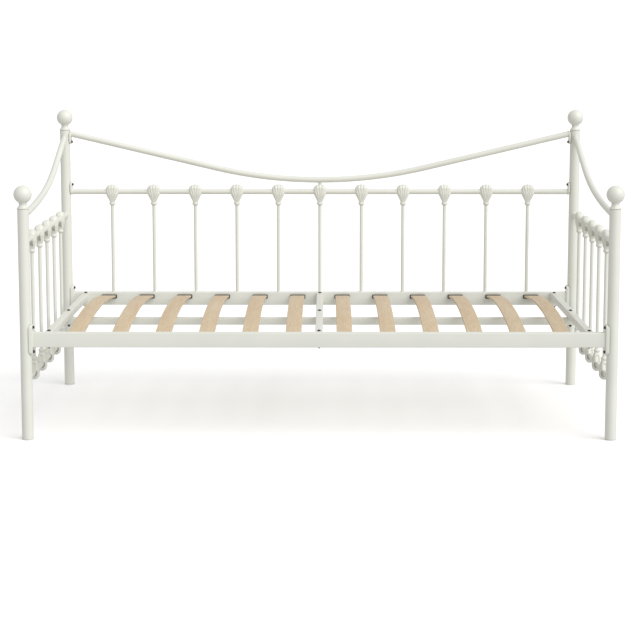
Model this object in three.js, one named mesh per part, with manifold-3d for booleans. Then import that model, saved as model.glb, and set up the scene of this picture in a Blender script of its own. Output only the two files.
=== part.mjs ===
// A metal daybed for one standard mattress: two end panels with swept top rails, a back panel
// with a sagging top rail, and a sprung-slat base bolted between them.
// Units are millimetres. +X runs along the bed, +Y to its back, +Z up, and z = 0 is the floor.

import * as THREE from 'three';
import { mergeVertices } from 'three/addons/utils/BufferGeometryUtils.js';
import Module from 'manifold-3d';

const wasm = await Module();
wasm.setup();

// Driving dimensions
const GAP = 0.3; // clearance between pieces that touch
const POST_X = 975; // post centres, each side of the middle
const POST_Y = 475;
const POST_RADIUS = 19;
const POST_WALL = 1.5;
const FRONT_POST_TOP = 774.5;
const BACK_POST_TOP = 987.5;
const FOOT_HEIGHT = 4;
const FOOT_PLUG_HEIGHT = 22;

// Finial heights are above the post's end
const FINIAL_BALL_RADIUS = 30;
const FINIAL_BALL_CENTRE = 48;
const FINIAL_SPIGOT_DEPTH = 28;
const FINIAL_COLLAR = { radius: 20.5, top: 4 };
const FINIAL_CONE = { footRadius: 16.5, footHeight: 7.5, neckRadius: 12.2, neckHeight: 15.5 };
const FINIAL_BEAD = { radius: 13.8, bottom: 17.5, top: 20.3, ballRadius: 12.8 };

const RAIL_RADIUS = 11; // the top rail and the sweep rails
const GRILLE_RAIL_RADIUS = 9.75; // the straight rails that carry the spindles
const RAIL_WALL = 1.2;
const SPINDLE_RADIUS = 6.35;
const SPINDLE_WALL = 1.2;

const SIDE_RAIL_TOP = 364; // top face of the front and back box rails
const SIDE_RAIL_HEIGHT = 50;
const SIDE_RAIL_DEPTH = 25;
const SIDE_RAIL_WALL = 1.5;

const BAR = 25; // square tube of the cross bars and the middle bar
const BAR_WALL = 1.5;
const CROSS_BAR_X = [-902, 0, 902];
const CROSS_BAR_NAMES = ['left', 'centre', 'right'];
const MIDDLE_BAR_LENGTH = 1836;
const BRACKET_REACH = 31;

const SLAT_WIDTH = 53;
const SLAT_THICKNESS = 8;
const SLAT_FIRST_X = 85.5;
const SLAT_PITCH = 145.5;
const SLATS_PER_SIDE = 6;
const SLAT_HALF_SPAN = 470;
const SLAT_END_TOP = 350.5;
const SLAT_CAMBER = 32.5;
const SLOT_WIDTH = 58;
const SLOT_HEIGHT = 15;
const SLOT_DEPTH = 3;

const TOP_RAIL_LOW = 798; // centre of the sagging rail at its lowest
const TOP_RAIL_ARC_HALF = 400; // the sag's arc, each side of the middle
const TOP_RAIL_ARC_RADIUS = 1750;
const TOP_RAIL_STEPS = 20;
const BACK_RAIL_HEIGHT = 752;
const BACK_SPINDLE_PITCH = 159.5;
const BACK_SPINDLES = 11;

const END_UPPER_HEIGHT = 663;
const END_LOWER_HEIGHT = 202;
const END_SPINDLES = 5;
const END_SPINDLE_PITCH = POST_Y * 2 / (END_SPINDLES + 1);
const SWEEP_BACK_HEIGHT = 958;
const SWEEP_FRONT_HEIGHT = 751;
const SWEEP_BACK_HANDLE = { y: 163, height: 854 }; // the curve's control points
const SWEEP_FRONT_HANDLE = { y: 148, height: 787 };
const SWEEP_STEPS = 16;

// Shell casting, heights from its rail's centre line
const SHELL_HALF_WIDTH = 24.5;
const SHELL_HALF_DEPTH = 16;
const SHELL_HEAD_BOTTOM = -8; // the straight flare from the neck ends here
const SHELL_HEAD_SHOULDER = 8; // and the round head starts here
const SHELL_TOP = 29;
const SHELL_NECK = { half: 10, top: -36, bottom: -44 };
const COLLAR = { radius: 11, bottom: -52.5, overlap: 1 };

const SADDLE_FACE_X = POST_X - 24; // the saddle's flat face, towards the bed's middle
const SADDLE_THICKNESS = 14;
const SADDLE_CORNER = 13;
const SADDLE_BOLT_RISE = 41; // from the side rail's centre line to each bolt
const SADDLE_TALL = { width: 37, height: 103 };
const SADDLE_SHORT = { width: 28, height: 49 };
const TOP_SADDLE_RISE = 10; // the plate's top above the sagging rail's centre at the post
const TOP_SADDLE_DROP = 30.5; // bolt below the sagging rail's centre at the post
const BACK_SADDLE_RISE = 28; // bolt above the back rail's centre

const SADDLE_BOLT = { shank: 4, length: 24, head: 5.8, headHeight: 5, hole: 4.5 };
const STACK_BOLT = {
  shank: 3, head: 6.5, headHeight: 3.5, nut: 5.8, nutHeight: 5, hole: 3.6, tail: 4,
};
const STACK_BOLT_Y = 446; // the front and back bolts of each cross bar

const ROUND_SIDES = 20; // facets round a post
const FINIAL_SIDES = 14;
const RAIL_SIDES = 10;
const SMALL_SIDES = 8;
const HEX_SIDES = 6;
const BALL_STEPS = 7;
const CUT_CLEAR = 1; // how far a cutting tool reaches past the surface it opens

// Materials
const powderCoat = new THREE.MeshStandardMaterial({ color: 0xe9e6dc, roughness: 0.42, metalness: 0.1 });
const beech = new THREE.MeshStandardMaterial({ color: 0xd2bb9c, roughness: 0.6, metalness: 0 });
const zinc = new THREE.MeshStandardMaterial({ color: 0x55544f, roughness: 0.45, metalness: 0.8 });
const footPlastic = new THREE.MeshStandardMaterial({ color: 0xdedcd4, roughness: 0.6, metalness: 0 });

// Solid modelling

function solidFrom(geometry) {
  const bare = geometry.clone();
  bare.deleteAttribute('normal');
  bare.deleteAttribute('uv');
  const merged = mergeVertices(bare, 1e-4);
  return new wasm.Manifold(new wasm.Mesh({
    numProp: 3,
    vertProperties: new Float32Array(merged.attributes.position.array),
    triVerts: new Uint32Array(merged.index.array),
  }));
}

function geometryFrom(solid) {
  const mesh = solid.getMesh();
  const geometry = new THREE.BufferGeometry();
  geometry.setAttribute('position', new THREE.BufferAttribute(mesh.vertProperties, 3));
  geometry.setIndex(new THREE.BufferAttribute(mesh.triVerts, 1));
  geometry.computeVertexNormals();
  return geometry;
}

function joined(solids) {
  return solids.reduce((whole, next) => whole.add(next));
}

function cutBy(solid, tools) {
  return tools.reduce((whole, tool) => whole.subtract(tool), solid);
}

// A cylinder whose axis runs along 'x', 'y' or 'z' from one coordinate to another.
function cylinder(axis, radius, from, to, centre, sides) {
  const geometry = new THREE.CylinderGeometry(radius, radius, to - from, sides);
  const middle = (from + to) / 2;
  if (axis === 'x') {
    geometry.rotateZ(-Math.PI / 2);
    geometry.translate(middle, centre[0], centre[1]);
  } else if (axis === 'y') {
    geometry.translate(centre[0], middle, centre[1]);
  } else {
    geometry.rotateX(Math.PI / 2);
    geometry.translate(centre[0], centre[1], middle);
  }
  return solidFrom(geometry);
}

function ordered(a, b) {
  return a < b ? [a, b] : [b, a];
}

function box(low, high) {
  const size = high.map((value, axis) => value - low[axis]);
  const geometry = new THREE.BoxGeometry(...size);
  geometry.translate(...low.map((value, axis) => value + size[axis] / 2));
  return solidFrom(geometry);
}

// A profile of [radius, height] points turned about the vertical axis.
function turned(profile, sides) {
  const points = profile.map(([radius, height]) => new THREE.Vector2(radius, height));
  const geometry = new THREE.LatheGeometry(points, sides);
  geometry.rotateX(Math.PI / 2);
  return geometry;
}

function arcPoints(centreHeight, radius, startAngle, endAngle, steps) {
  const points = [];
  for (let step = 0; step <= steps; step += 1) {
    const angle = startAngle + (endAngle - startAngle) * step / steps;
    points.push([Math.max(0, radius * Math.cos(angle)), centreHeight + radius * Math.sin(angle)]);
  }
  return points;
}

// A round tube swept along a curve, open at both ends.
function sweptTube(curve, radius, wall, steps) {
  const section = new THREE.Shape();
  section.absarc(0, 0, radius, 0, Math.PI * 2, false);
  const bore = new THREE.Path();
  bore.absarc(0, 0, radius - wall, 0, Math.PI * 2, true);
  section.holes.push(bore);
  return solidFrom(new THREE.ExtrudeGeometry(section, {
    steps,
    curveSegments: RAIL_SIDES / 2,
    extrudePath: curve,
  }));
}

// Posts

function postHeights(isBack) {
  const centre = SIDE_RAIL_TOP - SIDE_RAIL_HEIGHT / 2;
  const heights = [centre - SADDLE_BOLT_RISE, centre + SADDLE_BOLT_RISE];
  if (isBack) {
    heights.push(BACK_RAIL_HEIGHT + BACK_SADDLE_RISE, topRailHeight(SADDLE_FACE_X) - TOP_SADDLE_DROP);
  }
  return heights;
}

function post(side, row) {
  const isBack = row > 0;
  const top = isBack ? BACK_POST_TOP : FRONT_POST_TOP;
  const centre = [side * POST_X, row * POST_Y];
  const bottom = FOOT_HEIGHT + GAP;
  const tube = cylinder('z', POST_RADIUS, bottom, top, centre, ROUND_SIDES);
  const bore = cylinder(
    'z',
    POST_RADIUS - POST_WALL,
    bottom - CUT_CLEAR,
    top + CUT_CLEAR,
    centre,
    ROUND_SIDES,
  );
  const inner = side * (POST_X - POST_RADIUS - CUT_CLEAR);
  const span = [side * POST_X, inner].sort((a, b) => a - b);
  const holes = postHeights(isBack).map((height) => (
    cylinder('x', SADDLE_BOLT.hole, span[0], span[1], [row * POST_Y, height], SMALL_SIDES)
  ));
  return geometryFrom(cutBy(tube, [bore, ...holes]));
}

// Ball finial with its bead, cone neck and the spigot that plugs the post.
function finial() {
  const spigot = POST_RADIUS - POST_WALL - GAP * 2;
  const ballStart = -Math.acos(FINIAL_BEAD.ballRadius / FINIAL_BALL_RADIUS);
  const profile = [
    [0, -FINIAL_SPIGOT_DEPTH],
    [spigot, -FINIAL_SPIGOT_DEPTH],
    [spigot, GAP],
    [FINIAL_COLLAR.radius, GAP],
    [FINIAL_COLLAR.radius, FINIAL_COLLAR.top],
    [FINIAL_CONE.footRadius, FINIAL_CONE.footHeight],
    [FINIAL_CONE.neckRadius, FINIAL_CONE.neckHeight],
    [FINIAL_BEAD.radius, FINIAL_BEAD.bottom],
    [FINIAL_BEAD.radius, FINIAL_BEAD.top],
    ...arcPoints(FINIAL_BALL_CENTRE, FINIAL_BALL_RADIUS, ballStart, Math.PI / 2, BALL_STEPS),
  ];
  return turned(profile, FINIAL_SIDES);
}

// Moulded foot: a disc under the tube with a plug inside it.
function foot() {
  const plug = POST_RADIUS - POST_WALL - GAP * 2;
  return turned([
    [0, 0],
    [POST_RADIUS - 1, 0],
    [POST_RADIUS, 1],
    [POST_RADIUS, FOOT_HEIGHT],
    [plug, FOOT_HEIGHT],
    [plug - 1, FOOT_PLUG_HEIGHT],
    [0, FOOT_PLUG_HEIGHT],
  ], ROUND_SIDES);
}

// Shell castings

// The shell from the front: a round head over a straight flare that rises from the neck.
function shellFront() {
  const outline = new THREE.Shape();
  outline.moveTo(-SHELL_NECK.half, SHELL_NECK.bottom);
  outline.lineTo(SHELL_NECK.half, SHELL_NECK.bottom);
  outline.lineTo(SHELL_NECK.half, SHELL_NECK.top);
  outline.lineTo(SHELL_HALF_WIDTH, SHELL_HEAD_BOTTOM);
  outline.lineTo(SHELL_HALF_WIDTH, SHELL_HEAD_SHOULDER);
  const rise = SHELL_TOP - SHELL_HEAD_SHOULDER;
  outline.absellipse(0, SHELL_HEAD_SHOULDER, SHELL_HALF_WIDTH, rise, 0, Math.PI, false);
  outline.lineTo(-SHELL_HALF_WIDTH, SHELL_HEAD_BOTTOM);
  outline.lineTo(-SHELL_NECK.half, SHELL_NECK.top);
  return outline;
}

// The shell from the side: a half-round top over a body that draws in to the neck.
function shellSide() {
  const outline = new THREE.Shape();
  outline.moveTo(-SHELL_NECK.half, SHELL_NECK.bottom);
  outline.lineTo(SHELL_NECK.half, SHELL_NECK.bottom);
  outline.lineTo(SHELL_HALF_DEPTH, SHELL_HEAD_BOTTOM);
  outline.absarc(0, SHELL_TOP - SHELL_HALF_DEPTH, SHELL_HALF_DEPTH, 0, Math.PI, false);
  outline.lineTo(-SHELL_HALF_DEPTH, SHELL_HEAD_BOTTOM);
  return outline;
}

// An outline drawn across and up, made into an upright slab centred on its depth.
function uprightSlab(outline, depth) {
  const slab = new THREE.ExtrudeGeometry(outline, { depth, bevelEnabled: false, curveSegments: 3 });
  slab.translate(0, 0, -depth / 2);
  slab.rotateX(Math.PI / 2);
  return slab;
}

// A casting on a rail that runs along 'x' or 'y'. direction is 1 upright and -1 hanging inverted.
function casting(railAxis, position, railHeight, direction) {
  const front = uprightSlab(shellFront(), SHELL_HALF_DEPTH * 2 + CUT_CLEAR);
  const side = uprightSlab(shellSide(), SHELL_HALF_WIDTH * 2 + CUT_CLEAR);
  side.rotateZ(Math.PI / 2);
  for (const slab of [front, side]) {
    if (railAxis === 'y') slab.rotateZ(Math.PI / 2);
    if (direction < 0) slab.rotateX(Math.PI);
    slab.translate(position[0], position[1], railHeight);
  }
  const shell = solidFrom(front).intersect(solidFrom(side));
  const [collarLow, collarHigh] = ordered(
    railHeight + direction * COLLAR.bottom,
    railHeight + direction * (SHELL_NECK.bottom + COLLAR.overlap),
  );
  return shell.add(cylinder('z', COLLAR.radius, collarLow, collarHigh, position, SMALL_SIDES));
}

// Saddle plates

// A plate with round corners, hollowed at the back to fit the post, with its bolt holes.
function saddle(side, y, centreHeight, size, boltHeights) {
  const { width, height } = size;
  const outline = new THREE.Shape();
  const w = width / 2;
  const h = height / 2;
  const r = SADDLE_CORNER;
  outline.moveTo(w - r, -h);
  outline.absarc(w - r, -h + r, r, -Math.PI / 2, 0, false);
  outline.absarc(w - r, h - r, r, 0, Math.PI / 2, false);
  outline.absarc(-w + r, h - r, r, Math.PI / 2, Math.PI, false);
  outline.absarc(-w + r, -h + r, r, Math.PI, Math.PI * 1.5, false);
  const geometry = new THREE.ExtrudeGeometry(outline, {
    depth: SADDLE_THICKNESS,
    bevelEnabled: false,
    curveSegments: 2,
  });
  geometry.rotateY(Math.PI / 2);
  geometry.rotateX(Math.PI / 2);
  const start = side > 0 ? SADDLE_FACE_X : -SADDLE_FACE_X - SADDLE_THICKNESS;
  geometry.translate(start, y, centreHeight);
  const postRoom = cylinder(
    'z',
    POST_RADIUS + GAP,
    centreHeight - h - CUT_CLEAR,
    centreHeight + h + CUT_CLEAR,
    [side * POST_X, y],
    ROUND_SIDES,
  );
  const holeEnd = start + SADDLE_THICKNESS + CUT_CLEAR;
  const holes = boltHeights.map((boltHeight) => (
    cylinder('x', SADDLE_BOLT.hole, start - CUT_CLEAR, holeEnd, [y, boltHeight], SMALL_SIDES)
  ));
  return cutBy(solidFrom(geometry), [postRoom, ...holes]);
}

// The round bore that keeps a welded rail open through its saddle plates.
function railBore(y, height) {
  return cylinder('x', GRILLE_RAIL_RADIUS - RAIL_WALL, -POST_X, POST_X, [y, height], RAIL_SIDES);
}

// Back panel

// Height of the sagging rail's centre line: an arc in the middle, then straight.
function topRailHeight(x) {
  const reach = Math.abs(x);
  const radius = TOP_RAIL_ARC_RADIUS;
  if (reach <= TOP_RAIL_ARC_HALF) {
    return TOP_RAIL_LOW + radius - Math.sqrt(radius ** 2 - reach ** 2);
  }
  const rise = Math.sqrt(radius ** 2 - TOP_RAIL_ARC_HALF ** 2);
  const slope = TOP_RAIL_ARC_HALF / rise;
  return TOP_RAIL_LOW + radius - rise + (reach - TOP_RAIL_ARC_HALF) * slope;
}

class SaggingCurve extends THREE.Curve {
  getPoint(t, target = new THREE.Vector3()) {
    const x = (t * 2 - 1) * (SADDLE_FACE_X + CUT_CLEAR);
    return target.set(x, POST_Y, topRailHeight(x));
  }
}

function backTopRail() {
  const tube = sweptTube(new SaggingCurve(), RAIL_RADIUS, RAIL_WALL, TOP_RAIL_STEPS);
  const endHeight = topRailHeight(SADDLE_FACE_X);
  const boltHeight = endHeight - TOP_SADDLE_DROP;
  const plateCentre = endHeight + TOP_SADDLE_RISE - SADDLE_SHORT.height / 2;
  const boreRadius = RAIL_RADIUS - RAIL_WALL * 2;
  const parts = [tube];
  const bores = [];
  for (const side of [-1, 1]) {
    parts.push(saddle(side, POST_Y, plateCentre, SADDLE_SHORT, [boltHeight]));
    const [low, high] = ordered(
      side * (SADDLE_FACE_X - RAIL_WALL * 2),
      side * (SADDLE_FACE_X + SADDLE_THICKNESS + CUT_CLEAR),
    );
    bores.push(cylinder('x', boreRadius, low, high, [POST_Y, endHeight], RAIL_SIDES));
  }
  return geometryFrom(cutBy(joined(parts), bores));
}

// The back's straight rail with its castings, spindles, middle stub and saddle plates: one weldment.
function backGrille() {
  const railCentre = [POST_Y, BACK_RAIL_HEIGHT];
  const parts = [
    cylinder('x', GRILLE_RAIL_RADIUS, -SADDLE_FACE_X, SADDLE_FACE_X, railCentre, RAIL_SIDES),
  ];
  const bores = [railBore(POST_Y, BACK_RAIL_HEIGHT)];
  const boltHeight = BACK_RAIL_HEIGHT + BACK_SADDLE_RISE;
  const plateCentre = BACK_RAIL_HEIGHT - GRILLE_RAIL_RADIUS + SADDLE_SHORT.height / 2;
  for (const side of [-1, 1]) {
    parts.push(saddle(side, POST_Y, plateCentre, SADDLE_SHORT, [boltHeight]));
  }
  const foot = SIDE_RAIL_TOP + GAP;
  for (let index = 0; index < BACK_SPINDLES; index += 1) {
    const centre = [(index - (BACK_SPINDLES - 1) / 2) * BACK_SPINDLE_PITCH, POST_Y];
    parts.push(casting('x', centre, BACK_RAIL_HEIGHT, 1));
    parts.push(cylinder('z', SPINDLE_RADIUS, foot, BACK_RAIL_HEIGHT, centre, SMALL_SIDES));
    bores.push(cylinder(
      'z',
      SPINDLE_RADIUS - SPINDLE_WALL,
      foot - CUT_CLEAR,
      BACK_RAIL_HEIGHT,
      centre,
      SMALL_SIDES,
    ));
  }
  const stubBottom = BACK_RAIL_HEIGHT + GRILLE_RAIL_RADIUS;
  const stubTop = TOP_RAIL_LOW - RAIL_RADIUS - GAP * 2;
  parts.push(cylinder('z', SPINDLE_RADIUS, stubBottom, stubTop, [0, POST_Y], SMALL_SIDES));
  return geometryFrom(cutBy(joined(parts), bores));
}

// End panels

// The swept top rail of an end, from high on the back post down to the front post.
function sweepRail(side) {
  const reach = POST_Y - POST_RADIUS - GAP;
  const x = side * POST_X;
  const curve = new THREE.CubicBezierCurve3(
    new THREE.Vector3(x, reach, SWEEP_BACK_HEIGHT),
    new THREE.Vector3(x, SWEEP_BACK_HANDLE.y, SWEEP_BACK_HANDLE.height),
    new THREE.Vector3(x, SWEEP_FRONT_HANDLE.y, SWEEP_FRONT_HANDLE.height),
    new THREE.Vector3(x, -reach, SWEEP_FRONT_HEIGHT),
  );
  const tube = sweptTube(curve, RAIL_RADIUS, RAIL_WALL, SWEEP_STEPS);
  const rooms = [[1, BACK_POST_TOP], [-1, FRONT_POST_TOP]].map(([row, top]) => (
    cylinder('z', POST_RADIUS + GAP, FOOT_HEIGHT, top, [x, row * POST_Y], ROUND_SIDES)
  ));
  return geometryFrom(cutBy(tube, rooms));
}

// The end's two straight rails, its spindles and their castings, one welded unit.
function endGrille(side) {
  const x = side * POST_X;
  const reach = POST_Y - POST_RADIUS - GAP;
  const parts = [];
  const bores = [];
  for (const height of [END_UPPER_HEIGHT, END_LOWER_HEIGHT]) {
    parts.push(cylinder('y', GRILLE_RAIL_RADIUS, -reach, reach, [x, height], RAIL_SIDES));
    bores.push(cylinder('y', GRILLE_RAIL_RADIUS - RAIL_WALL, -POST_Y, POST_Y, [x, height], RAIL_SIDES));
  }
  for (let index = 0; index < END_SPINDLES; index += 1) {
    const centre = [x, (index - (END_SPINDLES - 1) / 2) * END_SPINDLE_PITCH];
    parts.push(casting('y', centre, END_UPPER_HEIGHT, 1));
    parts.push(casting('y', centre, END_LOWER_HEIGHT, -1));
    parts.push(cylinder('z', SPINDLE_RADIUS, END_LOWER_HEIGHT, END_UPPER_HEIGHT, centre, SMALL_SIDES));
    bores.push(cylinder(
      'z',
      SPINDLE_RADIUS - SPINDLE_WALL,
      END_LOWER_HEIGHT,
      END_UPPER_HEIGHT,
      centre,
      SMALL_SIDES,
    ));
  }
  return geometryFrom(cutBy(joined(parts), bores));
}

// Base

function slatCentres() {
  const centres = [];
  for (let index = 0; index < SLATS_PER_SIDE; index += 1) {
    const x = SLAT_FIRST_X + SLAT_PITCH * index;
    centres.push(x, -x);
  }
  return centres.sort((a, b) => a - b);
}

// A box rail with saddle plates at its ends, and on its inner face the slat slots and the
// short tube brackets that carry the cross bars. row is -1 at the front and 1 at the back.
function sideRail(row) {
  const bottom = SIDE_RAIL_TOP - SIDE_RAIL_HEIGHT;
  const centreHeight = SIDE_RAIL_TOP - SIDE_RAIL_HEIGHT / 2;
  const y = row * POST_Y;
  const depth = SIDE_RAIL_DEPTH / 2;
  const wall = SIDE_RAIL_WALL;
  const boltHeights = [centreHeight - SADDLE_BOLT_RISE, centreHeight + SADDLE_BOLT_RISE];
  const parts = [box([-SADDLE_FACE_X, y - depth, bottom], [SADDLE_FACE_X, y + depth, SIDE_RAIL_TOP])];
  for (const side of [-1, 1]) {
    parts.push(saddle(side, y, centreHeight, SADDLE_TALL, boltHeights));
  }
  const innerFace = y - row * depth;
  const bracketEnd = innerFace - row * BRACKET_REACH;
  const bracketTop = SIDE_RAIL_TOP - BAR - GAP * 2;
  const cuts = [box(
    [-SADDLE_FACE_X + wall, y - depth + wall, bottom + wall],
    [SADDLE_FACE_X - wall, y + depth - wall, SIDE_RAIL_TOP - wall],
  )];
  for (const x of CROSS_BAR_X) {
    const ys = ordered(innerFace, bracketEnd);
    parts.push(box([x - BAR / 2, ys[0], bottom], [x + BAR / 2, ys[1], bracketTop]));
    const hollow = ordered(innerFace - row * wall, bracketEnd - row * CUT_CLEAR);
    cuts.push(box(
      [x - BAR / 2 + wall, hollow[0], bottom + wall],
      [x + BAR / 2 - wall, hollow[1], bracketTop - wall],
    ));
    const hole = [x, row * STACK_BOLT_Y];
    cuts.push(cylinder(
      'z',
      STACK_BOLT.hole,
      bottom - CUT_CLEAR,
      bracketTop + CUT_CLEAR,
      hole,
      SMALL_SIDES,
    ));
  }
  const slotMiddle = SLAT_END_TOP - SLAT_THICKNESS / 2;
  const slotSpan = ordered(innerFace + row * SLOT_DEPTH, innerFace - row * CUT_CLEAR);
  for (const x of slatCentres()) {
    cuts.push(box(
      [x - SLOT_WIDTH / 2, slotSpan[0], slotMiddle - SLOT_HEIGHT / 2],
      [x + SLOT_WIDTH / 2, slotSpan[1], slotMiddle + SLOT_HEIGHT / 2],
    ));
  }
  return geometryFrom(cutBy(joined(parts), cuts));
}

// A square tube running front to back between the side rails.
function crossBar(x) {
  const reach = POST_Y - SIDE_RAIL_DEPTH / 2 - GAP;
  const half = BAR / 2;
  const top = SIDE_RAIL_TOP - GAP;
  const tube = box([x - half, -reach, top - BAR], [x + half, reach, top]);
  const hollow = box(
    [x - half + BAR_WALL, -reach - CUT_CLEAR, top - BAR + BAR_WALL],
    [x + half - BAR_WALL, reach + CUT_CLEAR, top - BAR_WALL],
  );
  const holes = [-STACK_BOLT_Y, 0, STACK_BOLT_Y].map((y) => (
    cylinder('z', STACK_BOLT.hole, top - BAR - CUT_CLEAR, top + CUT_CLEAR, [x, y], SMALL_SIDES)
  ));
  return geometryFrom(cutBy(tube, [hollow, ...holes]));
}

// The square tube under the cross bars, along the bed's middle.
function middleBar() {
  const reach = MIDDLE_BAR_LENGTH / 2;
  const half = BAR / 2;
  const top = SIDE_RAIL_TOP - BAR - GAP * 2;
  const tube = box([-reach, -half, top - BAR], [reach, half, top]);
  const hollow = box(
    [-reach - CUT_CLEAR, -half + BAR_WALL, top - BAR + BAR_WALL],
    [reach + CUT_CLEAR, half - BAR_WALL, top - BAR_WALL],
  );
  const holes = CROSS_BAR_X.map((x) => (
    cylinder('z', STACK_BOLT.hole, top - BAR - CUT_CLEAR, top + CUT_CLEAR, [x, 0], SMALL_SIDES)
  ));
  return geometryFrom(cutBy(tube, [hollow, ...holes]));
}

// A slat bowed upwards: two concentric arcs closed by its square ends.
function slat(x) {
  const span = SLAT_HALF_SPAN;
  const outer = (span ** 2 + SLAT_CAMBER ** 2) / (2 * SLAT_CAMBER);
  const centreHeight = SLAT_END_TOP + SLAT_CAMBER - outer;
  const inner = outer - SLAT_THICKNESS;
  const sweep = Math.asin(span / outer);
  const [from, to] = [Math.PI / 2 - sweep, Math.PI / 2 + sweep];
  const outline = new THREE.Shape();
  outline.absarc(0, centreHeight, outer, from, to, false);
  outline.absarc(0, centreHeight, inner, to, from, true);
  const geometry = new THREE.ExtrudeGeometry(outline, {
    depth: SLAT_WIDTH,
    bevelEnabled: false,
    curveSegments: 7,
  });
  geometry.rotateX(Math.PI / 2);
  geometry.rotateZ(Math.PI / 2);
  geometry.translate(x - SLAT_WIDTH / 2, 0, 0);
  return geometryFrom(solidFrom(geometry));
}

// Fasteners

// A bolt that holds a saddle plate to its post, head towards the bed's middle.
function saddleBolt(side, y, height) {
  const { shank, length, head, headHeight } = SADDLE_BOLT;
  const face = side * (SADDLE_FACE_X - GAP);
  const [headLow, headHigh] = ordered(face, face - side * headHeight);
  const [shankLow, shankHigh] = ordered(face - side * headHeight / 2, face + side * length);
  const centre = [y, height];
  return geometryFrom(joined([
    cylinder('x', head, headLow, headHigh, centre, HEX_SIDES),
    cylinder('x', shank, shankLow, shankHigh, centre, SMALL_SIDES),
  ]));
}

// A bolt down through a cross bar and the tube under it, with its nut run on.
function stackBolt(x, y) {
  const { shank, head, headHeight, nut, nutHeight, tail } = STACK_BOLT;
  const top = SIDE_RAIL_TOP;
  const nutTop = SIDE_RAIL_TOP - SIDE_RAIL_HEIGHT - GAP * 3;
  const nutBottom = nutTop - nutHeight;
  return geometryFrom(joined([
    cylinder('z', head, top, top + headHeight, [x, y], RAIL_SIDES),
    cylinder('z', shank, nutBottom - tail, top + headHeight / 2, [x, y], SMALL_SIDES),
    cylinder('z', nut, nutBottom, nutTop, [x, y], HEX_SIDES),
  ]));
}

// Assembly

const daybed = new THREE.Group();

function place(name, geometry, material, position = [0, 0, 0]) {
  const mesh = new THREE.Mesh(geometry, material);
  mesh.name = name;
  mesh.position.set(...position);
  daybed.add(mesh);
}

const SIDES = [['left', -1], ['right', 1]];
const ROWS = [['front', -1, FRONT_POST_TOP], ['back', 1, BACK_POST_TOP]];

for (const [rowName, row, top] of ROWS) {
  for (const [sideName, side] of SIDES) {
    const corner = `${rowName}_${sideName}`;
    place(`post_${corner}`, post(side, row), powderCoat);
    place(`finial_${corner}`, finial(), powderCoat, [side * POST_X, row * POST_Y, top]);
    place(`foot_${corner}`, foot(), footPlastic, [side * POST_X, row * POST_Y, 0]);
  }
}

for (const [sideName, side] of SIDES) {
  place(`sweep_rail_${sideName}`, sweepRail(side), powderCoat);
  place(`end_grille_${sideName}`, endGrille(side), powderCoat);
}

place('back_top_rail', backTopRail(), powderCoat);
place('back_grille', backGrille(), powderCoat);
place('side_rail_front', sideRail(-1), powderCoat);
place('side_rail_back', sideRail(1), powderCoat);
place('middle_bar', middleBar(), powderCoat);

CROSS_BAR_X.forEach((x, index) => {
  const barName = CROSS_BAR_NAMES[index];
  place(`cross_bar_${barName}`, crossBar(x), powderCoat);
  for (const [spot, y] of [['front', -STACK_BOLT_Y], ['middle', 0], ['back', STACK_BOLT_Y]]) {
    place(`bar_bolt_${barName}_${spot}`, stackBolt(x, y), zinc);
  }
});

slatCentres().forEach((x, index) => {
  place(`slat_${String(index + 1).padStart(2, '0')}`, slat(x), beech);
});

for (const [rowName, row] of ROWS) {
  for (const [sideName, side] of SIDES) {
    postHeights(row > 0).forEach((height, index) => {
      const level = ['low', 'high', 'back_rail', 'top_rail'][index];
      place(`saddle_bolt_${rowName}_${sideName}_${level}`, saddleBolt(side, row * POST_Y, height), zinc);
    });
  }
}

export default daybed;
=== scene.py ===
import math
import random

import bmesh
import bpy
from mathutils import Matrix, Vector


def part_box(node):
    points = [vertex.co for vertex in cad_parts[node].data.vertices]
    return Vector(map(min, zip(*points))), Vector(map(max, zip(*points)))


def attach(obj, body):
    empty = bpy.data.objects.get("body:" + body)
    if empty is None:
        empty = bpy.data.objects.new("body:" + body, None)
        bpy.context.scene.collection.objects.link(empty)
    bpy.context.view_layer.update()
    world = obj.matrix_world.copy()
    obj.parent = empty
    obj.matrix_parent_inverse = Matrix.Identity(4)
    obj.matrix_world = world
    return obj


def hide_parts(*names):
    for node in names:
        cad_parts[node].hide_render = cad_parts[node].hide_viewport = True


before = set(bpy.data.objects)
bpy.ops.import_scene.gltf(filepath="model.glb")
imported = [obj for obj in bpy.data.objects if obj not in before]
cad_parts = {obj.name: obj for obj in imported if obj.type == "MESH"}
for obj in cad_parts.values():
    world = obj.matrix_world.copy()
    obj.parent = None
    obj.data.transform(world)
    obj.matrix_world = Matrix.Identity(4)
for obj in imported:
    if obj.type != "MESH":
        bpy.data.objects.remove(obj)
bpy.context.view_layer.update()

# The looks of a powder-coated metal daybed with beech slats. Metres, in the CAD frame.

MM = 0.001
TAU = math.tau

# Sizes that the CAD boxes don't give on their own
POST_WALL = 1.5 * MM
RAIL_RADIUS = 11 * MM  # the top rail and the sweep rails
GRILLE_RAIL_RADIUS = 9.75 * MM
SPINDLE_RADIUS = 6.35 * MM
SPINDLE_BITE = 4 * MM  # how far a spindle runs into its casting
CASTING_TOP = 29 * MM  # above its rail's centre line
CASTING_BOTTOM = -52.5 * MM
BACK_SPINDLES = 11
BACK_SPINDLE_PITCH = 159.5 * MM
END_SPINDLES = 5
SIDE_RAIL_HEIGHT = 50 * MM
SIDE_RAIL_DEPTH = 25 * MM
BOX_CORNER = 2.6 * MM  # of the side rails and the bars
BAR_WALL = 1.5 * MM
BAR_INNER_CORNER = 1.2 * MM
ROD_EDGE = 0.2 * MM

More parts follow.
